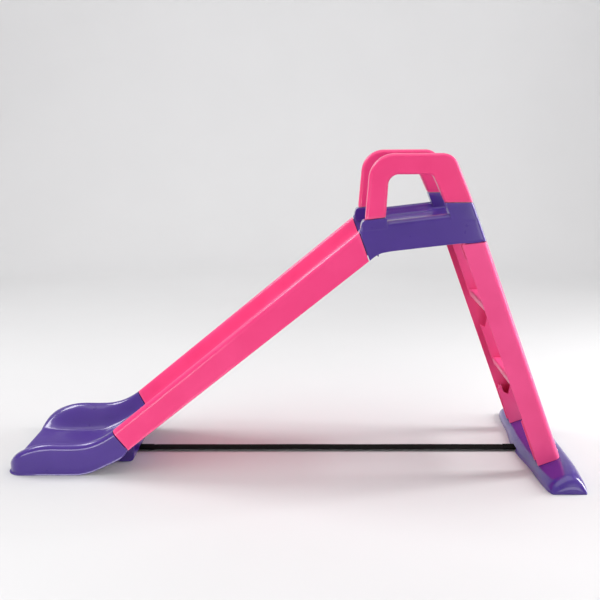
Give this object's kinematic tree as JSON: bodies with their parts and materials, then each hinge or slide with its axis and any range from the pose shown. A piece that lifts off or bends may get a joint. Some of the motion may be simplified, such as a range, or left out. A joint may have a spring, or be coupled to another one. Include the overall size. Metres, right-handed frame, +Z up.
{
  "type": "toddler slide",
  "caption": "Small indoor and garden slide: moulded chute with curved run-out, top deck with loop handrails, stepped ladder on a cross foot, and a floor strap that ties the two ends",
  "frame": {"origin": "on the floor, below the centre of the bounding box in plan", "axes": "+X from the chute's mouth to the ladder, +Y to the right of a child who slides down, +Z up"},
  "size_m": [1.539, 0.66, 0.8575],
  "materials": {
    "pink_plastic": "glossy moulded polypropylene, bright pink",
    "purple_plastic": "glossy moulded polypropylene, violet purple",
    "black_webbing": "woven polypropylene webbing, matt black",
    "zinc_steel": "bright zinc-plated steel"
  },
  "bodies": {
    "root": {"upper_chute": "pink_plastic", "lower_chute": "purple_plastic", "platform": "purple_plastic", "handrail_left": "pink_plastic", "handrail_right": "pink_plastic", "ladder": "pink_plastic", "foot": "purple_plastic", "spreader_strap": "black_webbing", "strap_pin_chute": "zinc_steel", "strap_pin_foot": "zinc_steel", "screw_foot_left_lower": "zinc_steel", "screw_foot_left_upper": "zinc_steel", "screw_foot_right_lower": "zinc_steel", "screw_foot_right_upper": "zinc_steel", "screw_platform_left": "zinc_steel", "screw_platform_right": "zinc_steel", "screw_handrail_rear_left": "zinc_steel", "screw_handrail_rear_right": "zinc_steel", "screw_handrail_front_left": "zinc_steel", "screw_handrail_front_right": "zinc_steel"}
  },
  "joints": []
}
